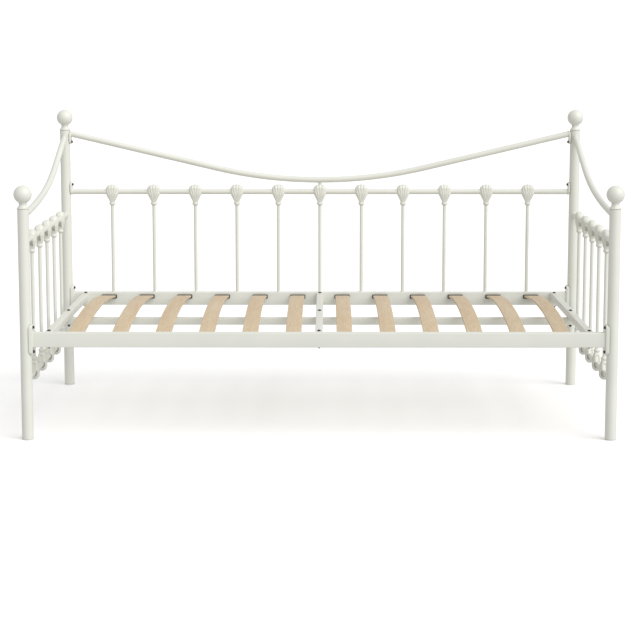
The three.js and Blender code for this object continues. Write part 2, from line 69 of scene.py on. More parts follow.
# Saddle plates
PLATE_FACE = 24 * MM  # from the post's axis
PLATE_THICKNESS = 14 * MM
PLATE_CORNER = 13 * MM
PLATE_EDGE = 1.2 * MM
PLATE_GAP = 3.2 * MM  # between the plate's hollow back and the post
SHORT_PLATE_WIDTH = 28 * MM
SHORT_PLATE_HEIGHT = 49 * MM
TALL_PLATE_WIDTH = 37 * MM
PLATE_TOP_ABOVE_BACK_RAIL = SHORT_PLATE_HEIGHT - GRILLE_RAIL_RADIUS
PLATE_TOP_ABOVE_TOP_RAIL = 10 * MM

# Brackets on the side rails, under the cross bars
BRACKET_REACH = 31 * MM
BRACKET_WIDTH = 25 * MM
BRACKET_HEIGHT = 24.4 * MM
BRACKET_CORNER = 2.4 * MM

# The back's sagging rail
SAG_LOW = 798 * MM
SAG_ARC_HALF = 400 * MM
SAG_ARC_RADIUS = 1750 * MM

# A sweep rail's ends, and the two points that steer its curve: y, and height from that end
SWEEP_BACK_HEIGHT = 958 * MM
SWEEP_FRONT_HEIGHT = 751 * MM
SWEEP_BACK_PULL = (163 * MM, -104 * MM)
SWEEP_FRONT_PULL = (148 * MM, 36 * MM)

# Slats, with the slots and sockets that hold them
SLAT_WIDTH = 53 * MM
SLAT_THICKNESS = 8 * MM
SLAT_CORNER = 1.4 * MM
SLAT_CAMBER = 32.5 * MM
SLAT_SHEETS = 5
SLOT_WIDTH = 58 * MM
SLOT_HEIGHT = 15 * MM
SLOT_DEPTH = 12 * MM
SOCKET_LENGTH = 27 * MM
SOCKET_OUTLINE = (56.6 * MM, 12.4 * MM, 2.2 * MM)  # width, height, corner radius
SOCKET_ROOM = 0.5 * MM
FLANGE_OUTLINE = (58.4 * MM, 14.4 * MM, 3 * MM)

# Weld beads
WELD_SIDES = 8
WELD_STEP = 1.2 * MM
POST_BEAD = 1.7 * MM
RAIL_BEAD = 1.6 * MM
SPINDLE_BEAD = 1.3 * MM
STUB_BEAD = 1.2 * MM
BRACKET_BEAD = 1.1 * MM

SIDES = (("left", -1), ("right", 1))
ROWS = (("front", -1), ("back", 1))
BARS = ("left", "centre", "right")


# -------- materials

class Nodes:
    """A short way to write a shader's nodes."""

    def __init__(self, name):
        self.material = bpy.data.materials.new(name)
        self.material.use_nodes = True
        self.tree = self.material.node_tree
        self.shader = self.tree.nodes["Principled BSDF"]

    def add(self, kind, inputs=None, **settings):
        node = self.tree.nodes.new(kind)
        for key, value in settings.items():
            setattr(node, key, value)
        for key, value in (inputs or {}).items():
            if isinstance(value, bpy.types.NodeSocket):
                self.tree.links.new(value, node.inputs[key])
            else:
                node.inputs[key].default_value = value
        return node

    def set(self, **values):
        for key, value in values.items():
            self.shader.inputs[key.replace("_", " ")].default_value = value

    def link(self, output, input_name):
        self.tree.links.new(output, self.shader.inputs[input_name])

    def place(self, scale=(1, 1, 1)):
        source = self.add("ShaderNodeTexCoord")
        mapped = self.add("ShaderNodeMapping", {"Vector": source.outputs["Object"], "Scale": scale})
        return mapped.outputs["Vector"]

    def noise(self, vector, scale, detail=2.0, roughness=0.5):
        made = self.add(
            "ShaderNodeTexNoise",
            {"Vector": vector, "Scale": scale, "Detail": detail, "Roughness": roughness},
        )
        return made.outputs["Fac"]

    def ramp(self, factor, stops):
        made = self.add("ShaderNodeValToRGB", {"Fac": factor})
        elements = made.color_ramp.elements
        while len(elements) < len(stops):
            elements.new(0.5)
        for element, (position, colour) in zip(elements, stops):
            element.position = position
            element.color = (*colour, 1)
        return made.outputs["Color"]

    def range(self, value, low, high, from_low=0.0, from_high=1.0):
        made = self.add(
            "ShaderNodeMapRange",
            {"Value": value, "From Min": from_low, "From Max": from_high, "To Min": low, "To Max": high},
        )
        return made.outputs["Result"]

    def mix(self, factor, first, second, blend="MIX"):
        made = self.add(
            "ShaderNodeMix",
            {"Factor": factor, "A": first, "B": second},
            data_type="RGBA",
            blend_type=blend,
        )
        return made.outputs["Result"]

    def bump(self, height, distance, strength=1.0, before=None):
        inputs = {"Height": height, "Distance": distance, "Strength": strength}
        if before is not None:
            inputs["Normal"] = before
        return self.add("ShaderNodeBump", inputs).outputs["Normal"]


def powder_coat():
    """Ivory satin powder coat: orange peel and faint clouding."""
    made = Nodes("powder_coat")
    here = made.place()
    clouds = made.noise(here, 9.0, 3.0)
    ivory = made.ramp(clouds, [(0.3, (0.715, 0.720, 0.650)), (0.7, (0.745, 0.748, 0.681))])
    made.link(ivory, "Base Color")
    peel = made.noise(here, 900.0, 2.0)
    swell = made.noise(here, 240.0, 1.0)
    made.link(made.range(made.noise(here, 60.0, 4.0), 0.34, 0.46), "Roughness")
    coarse = made.bump(swell, 0.00016, 0.5)
    made.link(made.bump(peel, 0.00005, 0.6, coarse), "Normal")
    made.set(Metallic=0.0, Specular_IOR_Level=0.5, Coat_Weight=0.12, Coat_Roughness=0.25)
    return made.material


def beech():
    """Pale beech: long fine grain, short dark flecks, glue lines on the laminated edges."""
    made = Nodes("beech")
    along = made.place((1, 0.035, 1))
    streaks = made.noise(along, 260.0, 5.0, 0.62)
    broad = made.noise(made.place((1, 0.12, 1)), 22.0, 3.0)
    base = made.ramp(streaks, [(0.28, (0.56, 0.435, 0.285)), (0.72, (0.715, 0.60, 0.425))])
    tone = made.ramp(broad, [(0.3, (0.92, 0.84, 0.76)), (0.7, (1.0, 1.0, 1.0))])
    toned = made.mix(0.75, base, tone, "MULTIPLY")
    flecks = made.add(
        "ShaderNodeTexVoronoi",
        {"Vector": made.place((1, 0.16, 1)), "Scale": 420.0, "Randomness": 1.0},
        feature="F1",
    )
    fleck = made.range(flecks.outputs["Distance"], 0.55, 0.0, 0.08, 0.17)
    flecked = made.mix(fleck, toned, (0.40, 0.25, 0.14, 1))
    layers = made.add("ShaderNodeUVMap", uv_map="section")
    split = made.add("ShaderNodeSeparateXYZ", {"Vector": layers.outputs["UV"]})
    wave = made.add("ShaderNodeMath", {0: split.outputs["Y"], 1: 1.0}, operation="PINGPONG")
    glue = made.range(wave.outputs["Value"], 0.55, 0.0, 0.0, 0.09)
    edge = made.add("ShaderNodeMath", {0: glue, 1: split.outputs["X"]}, operation="MULTIPLY")
    made.link(made.mix(edge.outputs["Value"], flecked, (0.30, 0.19, 0.10, 1)), "Base Color")
    made.link(made.range(streaks, 0.42, 0.58), "Roughness")
    made.link(made.bump(streaks, 0.00012, 0.5), "Normal")
    made.set(Specular_IOR_Level=0.35)
    return made.material


def dark_zinc():
    """Blackened zinc plating with faint blotches."""
    made = Nodes("dark_zinc")
    here = made.place()
    blotch = made.noise(here, 300.0, 4.0)
    zinc = made.ramp(blotch, [(0.3, (0.035, 0.032, 0.028)), (0.75, (0.11, 0.10, 0.085))])
    made.link(zinc, "Base Color")
    made.link(made.range(made.noise(here, 900.0, 2.0), 0.32, 0.55), "Roughness")
    made.link(made.bump(blotch, 0.00004, 0.5), "Normal")
    made.set(Metallic=0.85)
    return made.material


def socket_plastic():
    """Black moulded plastic with a fine spark-eroded grain."""
    made = Nodes("slat_holder")
    here = made.place()
    clouds = made.noise(here, 40.0)
    black = made.ramp(clouds, [(0.3, (0.018, 0.017, 0.015)), (0.7, (0.03, 0.028, 0.025))])
    made.link(black, "Base Color")
    made.link(made.bump(made.noise(here, 1500.0, 2.0), 0.00005, 0.7), "Normal")
    made.link(made.range(made.noise(here, 200.0), 0.5, 0.66), "Roughness")
    return made.material


def foot_plastic():
    """Off-white moulded plastic, slightly scuffed."""
    made = Nodes("foot_plastic")
    here = made.place()
    scuffs = made.noise(here, 130.0, 5.0, 0.7)
    cream = made.ramp(scuffs, [(0.35, (0.62, 0.60, 0.55)), (0.6, (0.78, 0.765, 0.72))])
    made.link(cream, "Base Color")
    made.link(made.bump(made.noise(here, 1200.0, 2.0), 0.00005, 0.6), "Normal")
    made.link(made.range(scuffs, 0.48, 0.68), "Roughness")
    return made.material


def studio_floor():
    """Matt near-white paint with a faint glow, which keeps shadows light."""
    made = Nodes("studio_floor")
    clouds = made.noise(made.place(), 3.0)
    white = made.ramp(clouds, [(0.3, (0.95, 0.95, 0.948)), (0.7, (0.96, 0.96, 0.958))])
    made.link(white, "Base Color")
    made.set(Roughness=0.9, Specular_IOR_Level=0.1, Emission_Color=(1, 1, 1, 1), Emission_Strength=0.13)
    return made.material


POWDER = powder_coat()
BEECH = beech()
ZINC = dark_zinc()
SOCKET = socket_plastic()
FOOT = foot_plastic()


# -------- mesh tools

def span_of(node):
    low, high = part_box(node)
    return Vector(low), Vector(high)


def centre_of(node):
    low, high = span_of(node)
    return (low + high) / 2


def finish_mesh(mesh, name, sharp=32):
    """Turns a bmesh into mesh data with smooth faces and crisp folds."""
    data = bpy.data.meshes.new(name)
    mesh.to_mesh(data)
    mesh.free()
    data.shade_smooth()
    data.set_sharp_from_angle(angle=math.radians(sharp))
    return data


def show(data, name, material, nodes=(), matrix=None):
    """Adds a piece to the scene, riding on the one rigid body."""
    if matrix is not None:
        data.transform(matrix)
        if matrix.determinant() < 0:
            data.flip_normals()
    data.materials.clear()
    data.materials.append(material)
    piece = bpy.data.objects.new(name, data)
    bpy.context.collection.objects.link(piece)
    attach(piece, "root")
    if nodes:
        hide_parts(*nodes)
    return piece


def loft(rings, closed_ends=True, closed_loop=False):
    """Joins equal rings of points, each ring closed on itself, into a skin."""
    count = len(rings[0])
    vertices = [point for ring in rings for point in ring]
    faces = []
    pairs = len(rings) if closed_loop else len(rings) - 1
    for r in range(pairs):
        a = r * count
        b = ((r + 1) % len(rings)) * count
        for i in range(count):
            j = (i + 1) % count
            faces.append((a + i, a + j, b + j, b + i))
    if closed_ends and not closed_loop:
        faces.append(tuple(range(count)))
        faces.append(tuple((len(rings) - 1) * count + i for i in range(count)))
    mesh = bmesh.new()
    made = [mesh.verts.new(v) for v in vertices]
    for face in faces:
        mesh.faces.new([made[i] for i in face])
    bmesh.ops.recalc_face_normals(mesh, faces=mesh.faces)
    return mesh


def circle(radius, height, count):
    """Evenly spaced points round the vertical axis."""
    turns = [TAU * i / count for i in range(count)]
    return [(radius * math.cos(turn), radius * math.sin(turn), height) for turn in turns]


def revolve(profile, segments=64, closed=False):
    """Turns (radius, height) points about the vertical axis. A closed profile makes a ring."""
    rings = [circle(radius, height, segments) for radius, height in profile]
    mesh = loft(rings, closed_ends=not closed, closed_loop=closed)
    bmesh.ops.remove_doubles(mesh, verts=mesh.verts, dist=1e-7)
    return mesh


def arc(centre, radius, start, end, steps):
    """Points on an arc, angles in degrees."""
    points = []
    for i in range(steps + 1):
        angle = math.radians(start + (end - start) * i / steps)
        points.append((centre[0] + radius * math.cos(angle), centre[1] + radius * math.sin(angle)))
    return points


def rounded_rectangle(width, height, radius, steps=4):
    w, h = width / 2 - radius, height / 2 - radius
    corners = ((w, h, 0), (-w, h, 90), (-w, -h, 180), (w, -h, 270))
    points = []
    for x, y, start in corners:
        points += arc((x, y), radius, start, start + 90, steps)
    return points


def sweep(points, radius, sides=28, closed=False, swell=None):
    """A round tube along points, with frames carried from step to step."""
    points = [Vector(p) for p in points]
    count = len(points)
    tangents = []
    for i in range(count):
        if closed:
            ahead, behind = points[(i + 1) % count], points[i - 1]
        else:
            ahead, behind = points[min(i + 1, count - 1)], points[max(i - 1, 0)]
        tangents.append((ahead - behind).normalized())
    side = tangents[0].orthogonal().normalized()
    rings = []
    for i, (point, tangent) in enumerate(zip(points, tangents)):
        side = (side - tangent * side.dot(tangent)).normalized()
        up = tangent.cross(side)
        r = radius * (swell(i) if swell else 1)
        rings.append([
            point + side * (r * math.cos(TAU * k / sides)) + up * (r * math.sin(TAU * k / sides))
            for k in range(sides)
        ])
    return loft(rings, closed_ends=not closed, closed_loop=closed)


def as_bmesh(data):
    """Turns mesh data into a bmesh and drops the data."""
    mesh = bmesh.new()
    mesh.from_mesh(data)
    bpy.data.meshes.remove(data)
    return mesh


def cut(data, cutters):
    """Subtracts closed meshes from mesh data with the exact boolean, and gives a bmesh."""
    target = bpy.data.objects.new("cut_target", data)
    bpy.context.collection.objects.link(target)
    tools = []
    for i, cutter in enumerate(cutters):
        tool = bpy.data.objects.new(f"cut_tool_{i}", cutter)
        bpy.context.collection.objects.link(tool)
        tools.append(tool)
        modifier = target.modifiers.new(f"cut_{i}", "BOOLEAN")
        modifier.operation = "DIFFERENCE"
        modifier.solver = "EXACT"
        modifier.object = tool
    graph = bpy.context.evaluated_depsgraph_get()
    result = bpy.data.meshes.new_from_object(target.evaluated_get(graph))
    for unwanted in (target, *tools):
        bpy.data.objects.remove(unwanted)
    return as_bmesh(result)


def bevel(mesh, width, segments, angle):
    """Rounds a bmesh's folds that are sharper than an angle in degrees."""
    sharp = math.radians(angle)
    edges = [edge for edge in mesh.edges if edge.is_manifold and edge.calc_face_angle(0) > sharp]
    bmesh.ops.bevel(
        mesh,
        geom=edges,
        offset=width,
        segments=segments,
        profile=0.6,
        affect="EDGES",
        clamp_overlap=True,
    )
    return mesh


def joined(meshes):
    """Puts several bmeshes into one."""
    whole = bmesh.new()
    for mesh in meshes:
        data = bpy.data.meshes.new("joining")
        mesh.to_mesh(data)
        mesh.free()
        whole.from_mesh(data)
        bpy.data.meshes.remove(data)
    return whole


def turned_to(direction):
    """A rotation that takes +Z to the given direction."""
    return Vector(direction).to_track_quat("Z", "Y").to_matrix().to_4x4()


def moved(mesh, offset):
    bmesh.ops.translate(mesh, vec=offset, verts=mesh.verts)
    return mesh


def laid(mesh, direction, start):
    """Turns a mesh that stands on the origin to a direction, and puts its foot at start."""
    matrix = Matrix.Translation(start) @ turned_to(direction)
    bmesh.ops.transform(mesh, matrix=matrix, verts=mesh.verts)
    return mesh


def rod(radius, length, segments, edge=ROD_EDGE):
    """A solid rod standing on z = 0, its two ends eased."""
    profile = [(0, 0), (radius - edge, 0), (radius, edge)]
    profile += [(radius, length - edge), (radius - edge, length), (0, length)]
    return revolve(profile, segments)


def show_metal(meshes, name, node, sharp=40):
    """Joins meshes into one powder-coated piece, standing for a node."""
    show(finish_mesh(joined(meshes), name, sharp), name, POWDER, [node])


def show_turned(mesh, name, material, node, height, sharp=32):
    """A mesh turned about the vertical axis becomes a piece on its node's own axis."""
    centre = centre_of(node)
    place = Matrix.Translation((centre.x, centre.y, height))
    show(finish_mesh(mesh, name, sharp), name, material, [node], place)


def weld_swell(seed):
    """The uneven thickness of a weld bead, step by step."""
    draw = random.Random(seed)
    phase = draw.random() * TAU
    return lambda i: 1 + 0.16 * math.sin(i * 1.3 + phase) + 0.1 * (draw.random() - 0.5)


def weld(points, bead, seed):
    """A weld bead along a closed run of points."""
    return sweep(points, bead, WELD_SIDES, closed=True, swell=weld_swell(seed))


def ring_weld(centre, normal, radius, bead, seed):
    """A bead round a tube where it meets a flat face."""
    turn = turned_to(normal)
    steps = max(36, int(radius * TAU / WELD_STEP))
    points = [Vector(centre) + turn @ Vector(point) for point in circle(radius, 0, steps)]
    return weld(points, bead, seed)


def post_weld(point, along, post_centre, post_radius, seed, rail_radius=RAIL_RADIUS):
    """A bead where a round rail, running the way along, meets a round upright post."""
    along = Vector(along).normalized()
    across = Vector((0, 0, 1)).cross(along).normalized()
    up = along.cross(across)
    steps = 64
    points = []
    for i in range(steps):
        angle = TAU * i / steps
        start = Vector(point) + (across * math.cos(angle) + up * math.sin(angle)) * rail_radius
        flat = Vector((start.x - post_centre[0], start.y - post_centre[1]))
        heading = Vector((along.x, along.y))
        a = heading.dot(heading)
        b = flat.dot(heading)
        c = flat.dot(flat) - post_radius ** 2
        travel = (-b - math.sqrt(max(b * b - a * c, 0))) / a
        points.append(start + along * travel)
    return weld(points, POST_BEAD, seed)


# -------- posts, finials, feet

FINIAL_BALL = 30 * MM


def post_at(row_name, side_name):
    """A post's centre and radius."""
    low, high = span_of(f"post_{row_name}_{side_name}")
    return (low + high) / 2, (high.x - low.x) / 2


def post_piece(corner):
    """A post's round tube, open at both ends."""
    node = f"post_{corner}"
    low, high = span_of(node)
    radius = (high.x - low.x) / 2
    inner = radius - POST_WALL
    lip = 0.5 * MM
    profile = [(inner, low.z), (radius - lip, low.z), (radius, low.z + lip)]
    profile += [(radius, high.z - lip), (radius - lip, high.z), (inner, high.z)]
    show_turned(revolve(profile, 72, closed=True), f"{node}_tube", POWDER, node, 0)


def finial_profile(foot, ball_height):
    """Spigot, collar, cone neck, bead, fillet and ball: radii, with heights from the post's top."""
    spigot, seat = 16.8 * MM, 0.7 * MM
    collar, collar_round = 19 * MM, 1.7 * MM
    neck, flare, neck_bottom, neck_height = 12.4 * MM, 5 * MM, 5.2 * MM, 10.6 * MM
    bead, bead_height = 1.6 * MM, 17.7 * MM
    throat = 12.9 * MM
    profile = [(0, foot), (spigot - MM, foot), (spigot, foot + 2 * MM)]
    profile += [(spigot, seat), (collar + 0.2 * MM, seat)]
    profile += arc((collar, seat + collar_round), collar_round, -70, 80, 8)
    profile.append((collar - 0.8 * MM, neck_bottom - 0.9 * MM))
    profile.append((collar - MM, neck_bottom - 0.3 * MM))
    steps = 10
    for i in range(steps + 1):
        t = i / steps
        profile.append((neck + flare * (1 - t) ** 1.7, neck_bottom + neck_height * t))
    profile += arc((neck - 0.1 * MM, bead_height), bead, -80, 80, 8)
    profile.append((neck + 0.1 * MM, bead_height + 1.8 * MM))
    profile += arc((neck + 0.2 * MM, bead_height + 2.5 * MM), 0.7 * MM, -60, 60, 4)
    start = -math.degrees(math.acos(throat / FINIAL_BALL))
    profile += arc((0, ball_height), FINIAL_BALL, start, 90, 40)
    return profile


def finial_piece(corner):
    """A ball on a bead, a short cone neck and a rounded collar, with its spigot in the post."""
    node = f"finial_{corner}"
    low, high = span_of(node)
    base = span_of(f"post_{corner}")[1].z
    profile = finial_profile(low.z - base, high.z - base - FINIAL_BALL)
    show_turned(revolve(profile, 80), f"{node}_ball", POWDER, node, base, 28)


def foot_piece(corner):
    """A plastic plug: a rounded rim under the tube, and a grooved stem that grips inside it."""
    node = f"foot_{corner}"
    low, high = span_of(node)
    radius = (high.x - low.x) / 2
    rim, hollow = 4 * MM, 0.8 * MM
    soft, edge = 1.4 * MM, 0.7 * MM
    stem = radius - POST_WALL - 0.6 * MM
    groove = stem - 0.8 * MM
    first_groove, pitch = 9 * MM, 4 * MM
    profile = [(0, hollow), (radius - 7 * MM, hollow), (radius - 6 * MM, 0)]
    profile.append((radius - soft - 0.2 * MM, 0))
    profile += arc((radius - soft, soft), soft, -80, 0, 6)
    profile += arc((radius - edge, rim - edge), edge, 0, 90, 4)
    profile += [(stem, rim), (stem, first_groove)]
    for i in range(3):
        bottom = first_groove + i * pitch
        profile += [(groove, bottom + 0.6 * MM), (groove, bottom + 2 * MM)]
        profile += [(stem, bottom + 2.6 * MM), (stem, bottom + 3.4 * MM)]
    profile += [(stem - 2 * MM, high.z), (0, high.z)]
    show_turned(revolve(profile, 64), f"{node}_cap", FOOT, node, low.z)


# -------- shell castings

# Heights are from the rail's centre line
SHELL_HALF_WIDTH = 24.6 * MM
SHELL_HALF_DEPTH = 16 * MM
SHELL_TOP = 28 * MM
SHELL_SHOULDER = 7 * MM  # the rounded head starts here
SHELL_HEAD = -7 * MM  # and the straight flare from the neck ends here
SHELL_FLARE = -37 * MM
SHELL_NECK = -41.5 * MM
SHELL_NECK_HALF_WIDTH = 9.6 * MM
SHELL_NECK_HALF_DEPTH = 9.4 * MM
RIBS = 7
RIB_HEIGHT = 2.3 * MM
RIB_MIDDLE = 0.78  # this much of a rib's rise is the shell's plain face
RIB_FADE = 22 * MM  # the ribs grow over this height above the neck
RIB_FAN_HALF = 33  # degrees
RIB_FAN_ORIGIN = SHELL_NECK - 9 * MM
RECESS_OUTLINE = (13 * MM, 27 * MM, 4 * MM)  # width, height, corner radius
RECESS_MIDDLE = -18.5 * MM
UPRIGHT_RECESS = 11 * MM
HANGING_RECESS = 3 * MM


def shell_half_width(height):
    """Half the shell's width: a straight flare from the neck, then a round head."""
    if height >= SHELL_SHOULDER:
        t = (height - SHELL_SHOULDER) / (SHELL_TOP - SHELL_SHOULDER)
        return SHELL_HALF_WIDTH * max(1 - t ** 2.5, 0) ** 0.5
    if height >= SHELL_HEAD:
        return SHELL_HALF_WIDTH
    if height >= SHELL_FLARE:
        t = (SHELL_HEAD - height) / (SHELL_HEAD - SHELL_FLARE)
        soft = t - 0.05 * math.sin(math.pi * t)
        return SHELL_HALF_WIDTH + (SHELL_NECK_HALF_WIDTH - SHELL_HALF_WIDTH) * soft
    return SHELL_NECK_HALF_WIDTH


def shell_half_depth(height):
    """Half the shell's depth: a half-round top over a body that draws in to the neck."""
    round_centre = SHELL_TOP - SHELL_HALF_DEPTH
    if height >= round_centre:
        t = (height - round_centre) / SHELL_HALF_DEPTH
        return SHELL_HALF_DEPTH * max(1 - t ** 2, 0) ** 0.5
    if height >= SHELL_HEAD:
        return SHELL_HALF_DEPTH
    t = (SHELL_HEAD - height) / (SHELL_HEAD - SHELL_NECK)
    return SHELL_HALF_DEPTH + (SHELL_NECK_HALF_DEPTH - SHELL_HALF_DEPTH) * t ** 1.3


def rib_lift(x, height):
    """How far the ribs that fan out from the neck stand up at a place on the shell's face."""
    fan = math.atan2(x, height - RIB_FAN_ORIGIN) / math.radians(RIB_FAN_HALF)
    return abs(math.cos(fan * math.pi * RIBS / 2)) ** 0.6


def shell_body():
    """The casting's head before its ribs: lofted from soft squarish rings."""
    around, levels = 144, 64
    squareness = 2 / 3
    rings = []
    for level in range(levels + 1):
        rise = math.sin(level / levels * math.pi / 2) ** 1.05
        height = min(SHELL_NECK + (SHELL_TOP - SHELL_NECK) * rise, SHELL_TOP - 0.03 * MM)
        width, depth = shell_half_width(height), shell_half_depth(height)
        ring = []
        for i in range(around):
            angle = TAU * i / around
            c, s = math.cos(angle), math.sin(angle)
            x = math.copysign(abs(c) ** squareness, c) * width
            y = math.copysign(abs(s) ** squareness, s) * depth
            ring.append(Vector((x, y, height)))
        rings.append(ring)
    return loft(rings)


def shell_mesh():
    """The casting's head: a plump body whose faces carry ribs fanning out from the neck."""
    mesh = shell_body()
    mesh.normal_update()
    moves = []
    for vertex in mesh.verts:
        place, normal = vertex.co, vertex.normal
        grown = min(max((place.z - SHELL_FLARE) / RIB_FADE, 0), 1) ** 0.7
        side = min(abs(normal.x) * 1.1, 1) ** 4
        lift = (rib_lift(place.x, place.z) - RIB_MIDDLE) * RIB_HEIGHT * grown * (1 - side)
        top = max(normal.z, 0) ** 2
        push = normal * (1 - top) + Vector((0, 0, 1)) * top
        moves.append((vertex, push * lift))
    for vertex, move in moves:
        vertex.co += move
    return finish_mesh(mesh, "shell")


def collar_mesh():
    """The casting's collar: a fat bead under the shell, chamfered onto the spindle."""
    bottom, top = CASTING_BOTTOM, SHELL_NECK + 5 * MM
    bead, bead_centre = 6.2 * MM, (5.6 * MM, bottom + 7.2 * MM)
    profile = [(0, bottom), (SPINDLE_RADIUS + 0.8 * MM, bottom), (9.4 * MM, bottom + 2.2 * MM)]
    profile += arc(bead_centre, bead, -44, 44, 12)
    profile += [(9.2 * MM, bottom + 12.4 * MM), (9 * MM, top), (0, top)]
    return revolve(profile, 48)


def recess_cutter(side, depth):
    """A pocket in the casting's narrow side, under the rail, leaning with the flare."""
    outline = rounded_rectangle(*RECESS_OUTLINE, 5)
    lean = math.atan2(SHELL_HALF_WIDTH - SHELL_NECK_HALF_WIDTH, SHELL_HEAD - SHELL_FLARE)
    rings = []
    for out, shrink in ((-depth, 0.86), (-depth + 1.2 * MM, 0.97), (12 * MM, 1.04)):
        rings.append([(out, p[0] * shrink, p[1] * shrink) for p in outline])
    data = finish_mesh(loft(rings), "recess")
    data.transform(Matrix.Rotation(lean, 4, "Y"))
    data.transform(Matrix.Translation((shell_half_width(RECESS_MIDDLE), 0, RECESS_MIDDLE)))
    if side < 0:
        data.transform(Matrix.Rotation(math.pi, 4, "Z"))
    return data


def mouth_cutter(side):
    """The round mouth where the rail runs in: wider than the rail, and set towards the crown."""
    near, far = sorted((side * 13 * MM, side * 32 * MM))
    radius = GRILLE_RAIL_RADIUS + 3.2 * MM
    lift = 3.5 * MM
    data = finish_mesh(revolve([(0, near), (radius, near), (radius, far), (0, far)], 48), "mouth")
    data.transform(Matrix.Translation((0, 0, lift)) @ turned_to((1, 0, 0)))
    return data


def casting_master(recess_depth, with_mouth):
    """One casting on a rail along X, with the rail's centre line through the origin."""
    cutters = [recess_cutter(1, recess_depth), recess_cutter(-1, recess_depth)]
    if with_mouth:
        cutters += [mouth_cutter(1), mouth_cutter(-1)]
    return finish_mesh(joined([cut(shell_mesh(), cutters), collar_mesh()]), "casting_master", 50)


UPRIGHT_CASTING = casting_master(UPRIGHT_RECESS, with_mouth=False)
HANGING_CASTING = casting_master(HANGING_RECESS, with_mouth=True)


def casting_piece(name, node, place, axis, direction):
    """A copy of a casting on a rail along 'x' or 'y': upright for 1, hanging inverted for -1."""
    matrix = Matrix.Translation(place)
    if axis == "y":
        matrix = matrix @ Matrix.Rotation(math.pi / 2, 4, "Z")
    if direction < 0:
        matrix = matrix @ Matrix.Rotation(math.pi, 4, "X")
    master = UPRIGHT_CASTING if direction > 0 else HANGING_CASTING
    show(master.copy(), name, POWDER, [node], matrix)


# -------- saddle plates and bolts

def plate_mesh(row_name, side_name, side, low_z, high_z, width):
    """A round-cornered plate whose back is hollowed to clear the post."""
    post, post_radius = post_at(row_name, side_name)
    face = post.x - side * PLATE_FACE
    height = high_z - low_z
    middle = (low_z + high_z) / 2
    outline = rounded_rectangle(width, height, PLATE_CORNER, 10)
    eased = (PLATE_EDGE * 0.35, PLATE_EDGE * 0.3)
    rings = []
    for depth, inset in ((0, PLATE_EDGE), eased, (PLATE_EDGE, 0), (PLATE_THICKNESS, 0)):
        wide, tall = 1 - 2 * inset / width, 1 - 2 * inset / height
        rings.append([(face + side * depth, post.y + p[0] * wide, middle + p[1] * tall) for p in outline])
    hollow = post_radius + PLATE_GAP
    bottom, top = low_z - 3 * MM, high_z + 3 * MM
    profile = [(0, bottom), (hollow, bottom), (hollow, top), (0, top)]
    post_room = finish_mesh(revolve(profile, 72), "post_room")
    post_room.transform(Matrix.Translation((post.x, post.y, 0)))
    return cut(finish_mesh(loft(rings), "plate"), [post_room])


def saddle_plates(row_name, low_z, high_z, width):
    """A pair of saddle plates, left and right, for a rail that bolts to a row's posts."""
    return [plate_mesh(row_name, side_name, side, low_z, high_z, width) for side_name, side in SIDES]


def hex_prism(radius, bottom, top):
    return finish_mesh(loft([circle(radius, height, 6) for height in (bottom, top)]), "hex")


def button_head(radius, height):
    """A domed bolt head with a hexagon socket, on a thin washer, standing on z = 0."""
    washer = 1.1 * MM
    shoulder = washer + 0.5 * MM
    dome = height - washer
    profile = [(0, washer), (radius * 0.95, washer), (radius, shoulder)]
    steps = 9
    for i in range(1, steps + 1):
        t = i / steps
        profile.append((radius * math.sqrt(1 - (t * 0.86) ** 2), shoulder + dome * t * 0.88))
    profile.append((0, shoulder + dome * 0.9))
    socket = hex_prism(radius * 0.42, height * 0.45, height * 2)
    head = cut(finish_mesh(revolve(profile, 40), "head"), [socket])
    rim = radius * 1.22
    ring = [(0, 0), (rim - 0.2 * MM, 0), (rim, 0.2 * MM), (rim, washer - 0.25 * MM)]
    ring += [(rim - 0.3 * MM, washer), (0, washer)]
    return joined([head, revolve(ring, 40)])


def cap_head(radius, washer_radius, height):
    """A round socket head on a domed washer, standing on z = 0."""
    washer = [(0, 0), (washer_radius - 0.3 * MM, 0), (washer_radius, 0.3 * MM), (washer_radius, MM)]
    washer += [(washer_radius - 0.5 * MM, 1.4 * MM), (radius + 0.2 * MM, 1.7 * MM), (0, 1.7 * MM)]
    edge = 0.7 * MM
    foot = 1.2 * MM
    profile = [(0, foot), (radius, foot), (radius, height - edge)]
    profile += arc((radius - edge, height - edge), edge, 0, 90, 4)
    profile.append((0, height))
    socket = hex_prism(radius * 0.56, height * 0.45, height * 2)
    head = cut(finish_mesh(revolve(profile, 40), "head"), [socket])
    return joined([revolve(washer, 40), head])


def threaded_rod(radius, length, pitch, start):
    """A rod with a cut thread, as a chain of ridges, from z = start down."""
    profile = [(0, start)]
    turns = int(length / pitch)
    for i in range(turns):
        top = start - i * pitch
        profile += [(radius * 0.86, top), (radius, top - pitch * 0.5)]
    profile += [(radius * 0.8, start - length), (0, start - length - 0.4 * MM)]
    return revolve(profile, 24)


def hex_nut(radius, height):
    """A hexagon nut with chamfered corners, its top on z = 0, opening downwards."""
    chamfer = 0.9 * radius
    levels = ((chamfer, 0), (radius, -0.12 * height), (radius, -0.88 * height), (chamfer, -height))
    return loft([circle(reach, level, 6) for reach, level in levels])


def saddle_bolt(node, side):
    """A bolt through a saddle plate, its head towards the bed's middle."""
    low, high = span_of(node)
    centre = (low + high) / 2
    head_height = 5 * MM
    length = high.x - low.x - head_height
    face = (low.x if side > 0 else high.x) + side * head_height
    head = cap_head(4.5 * MM, 5.7 * MM, head_height)
    shank = moved(rod(3.8 * MM, length, 24, 0.4 * MM), (0, 0, -length))
    data = finish_mesh(joined([head, shank]), node)
    matrix = Matrix.Translation((face, centre.y, centre.z)) @ turned_to((-side, 0, 0))
    show(data, f"{node}_socket_head", ZINC, [node], matrix)


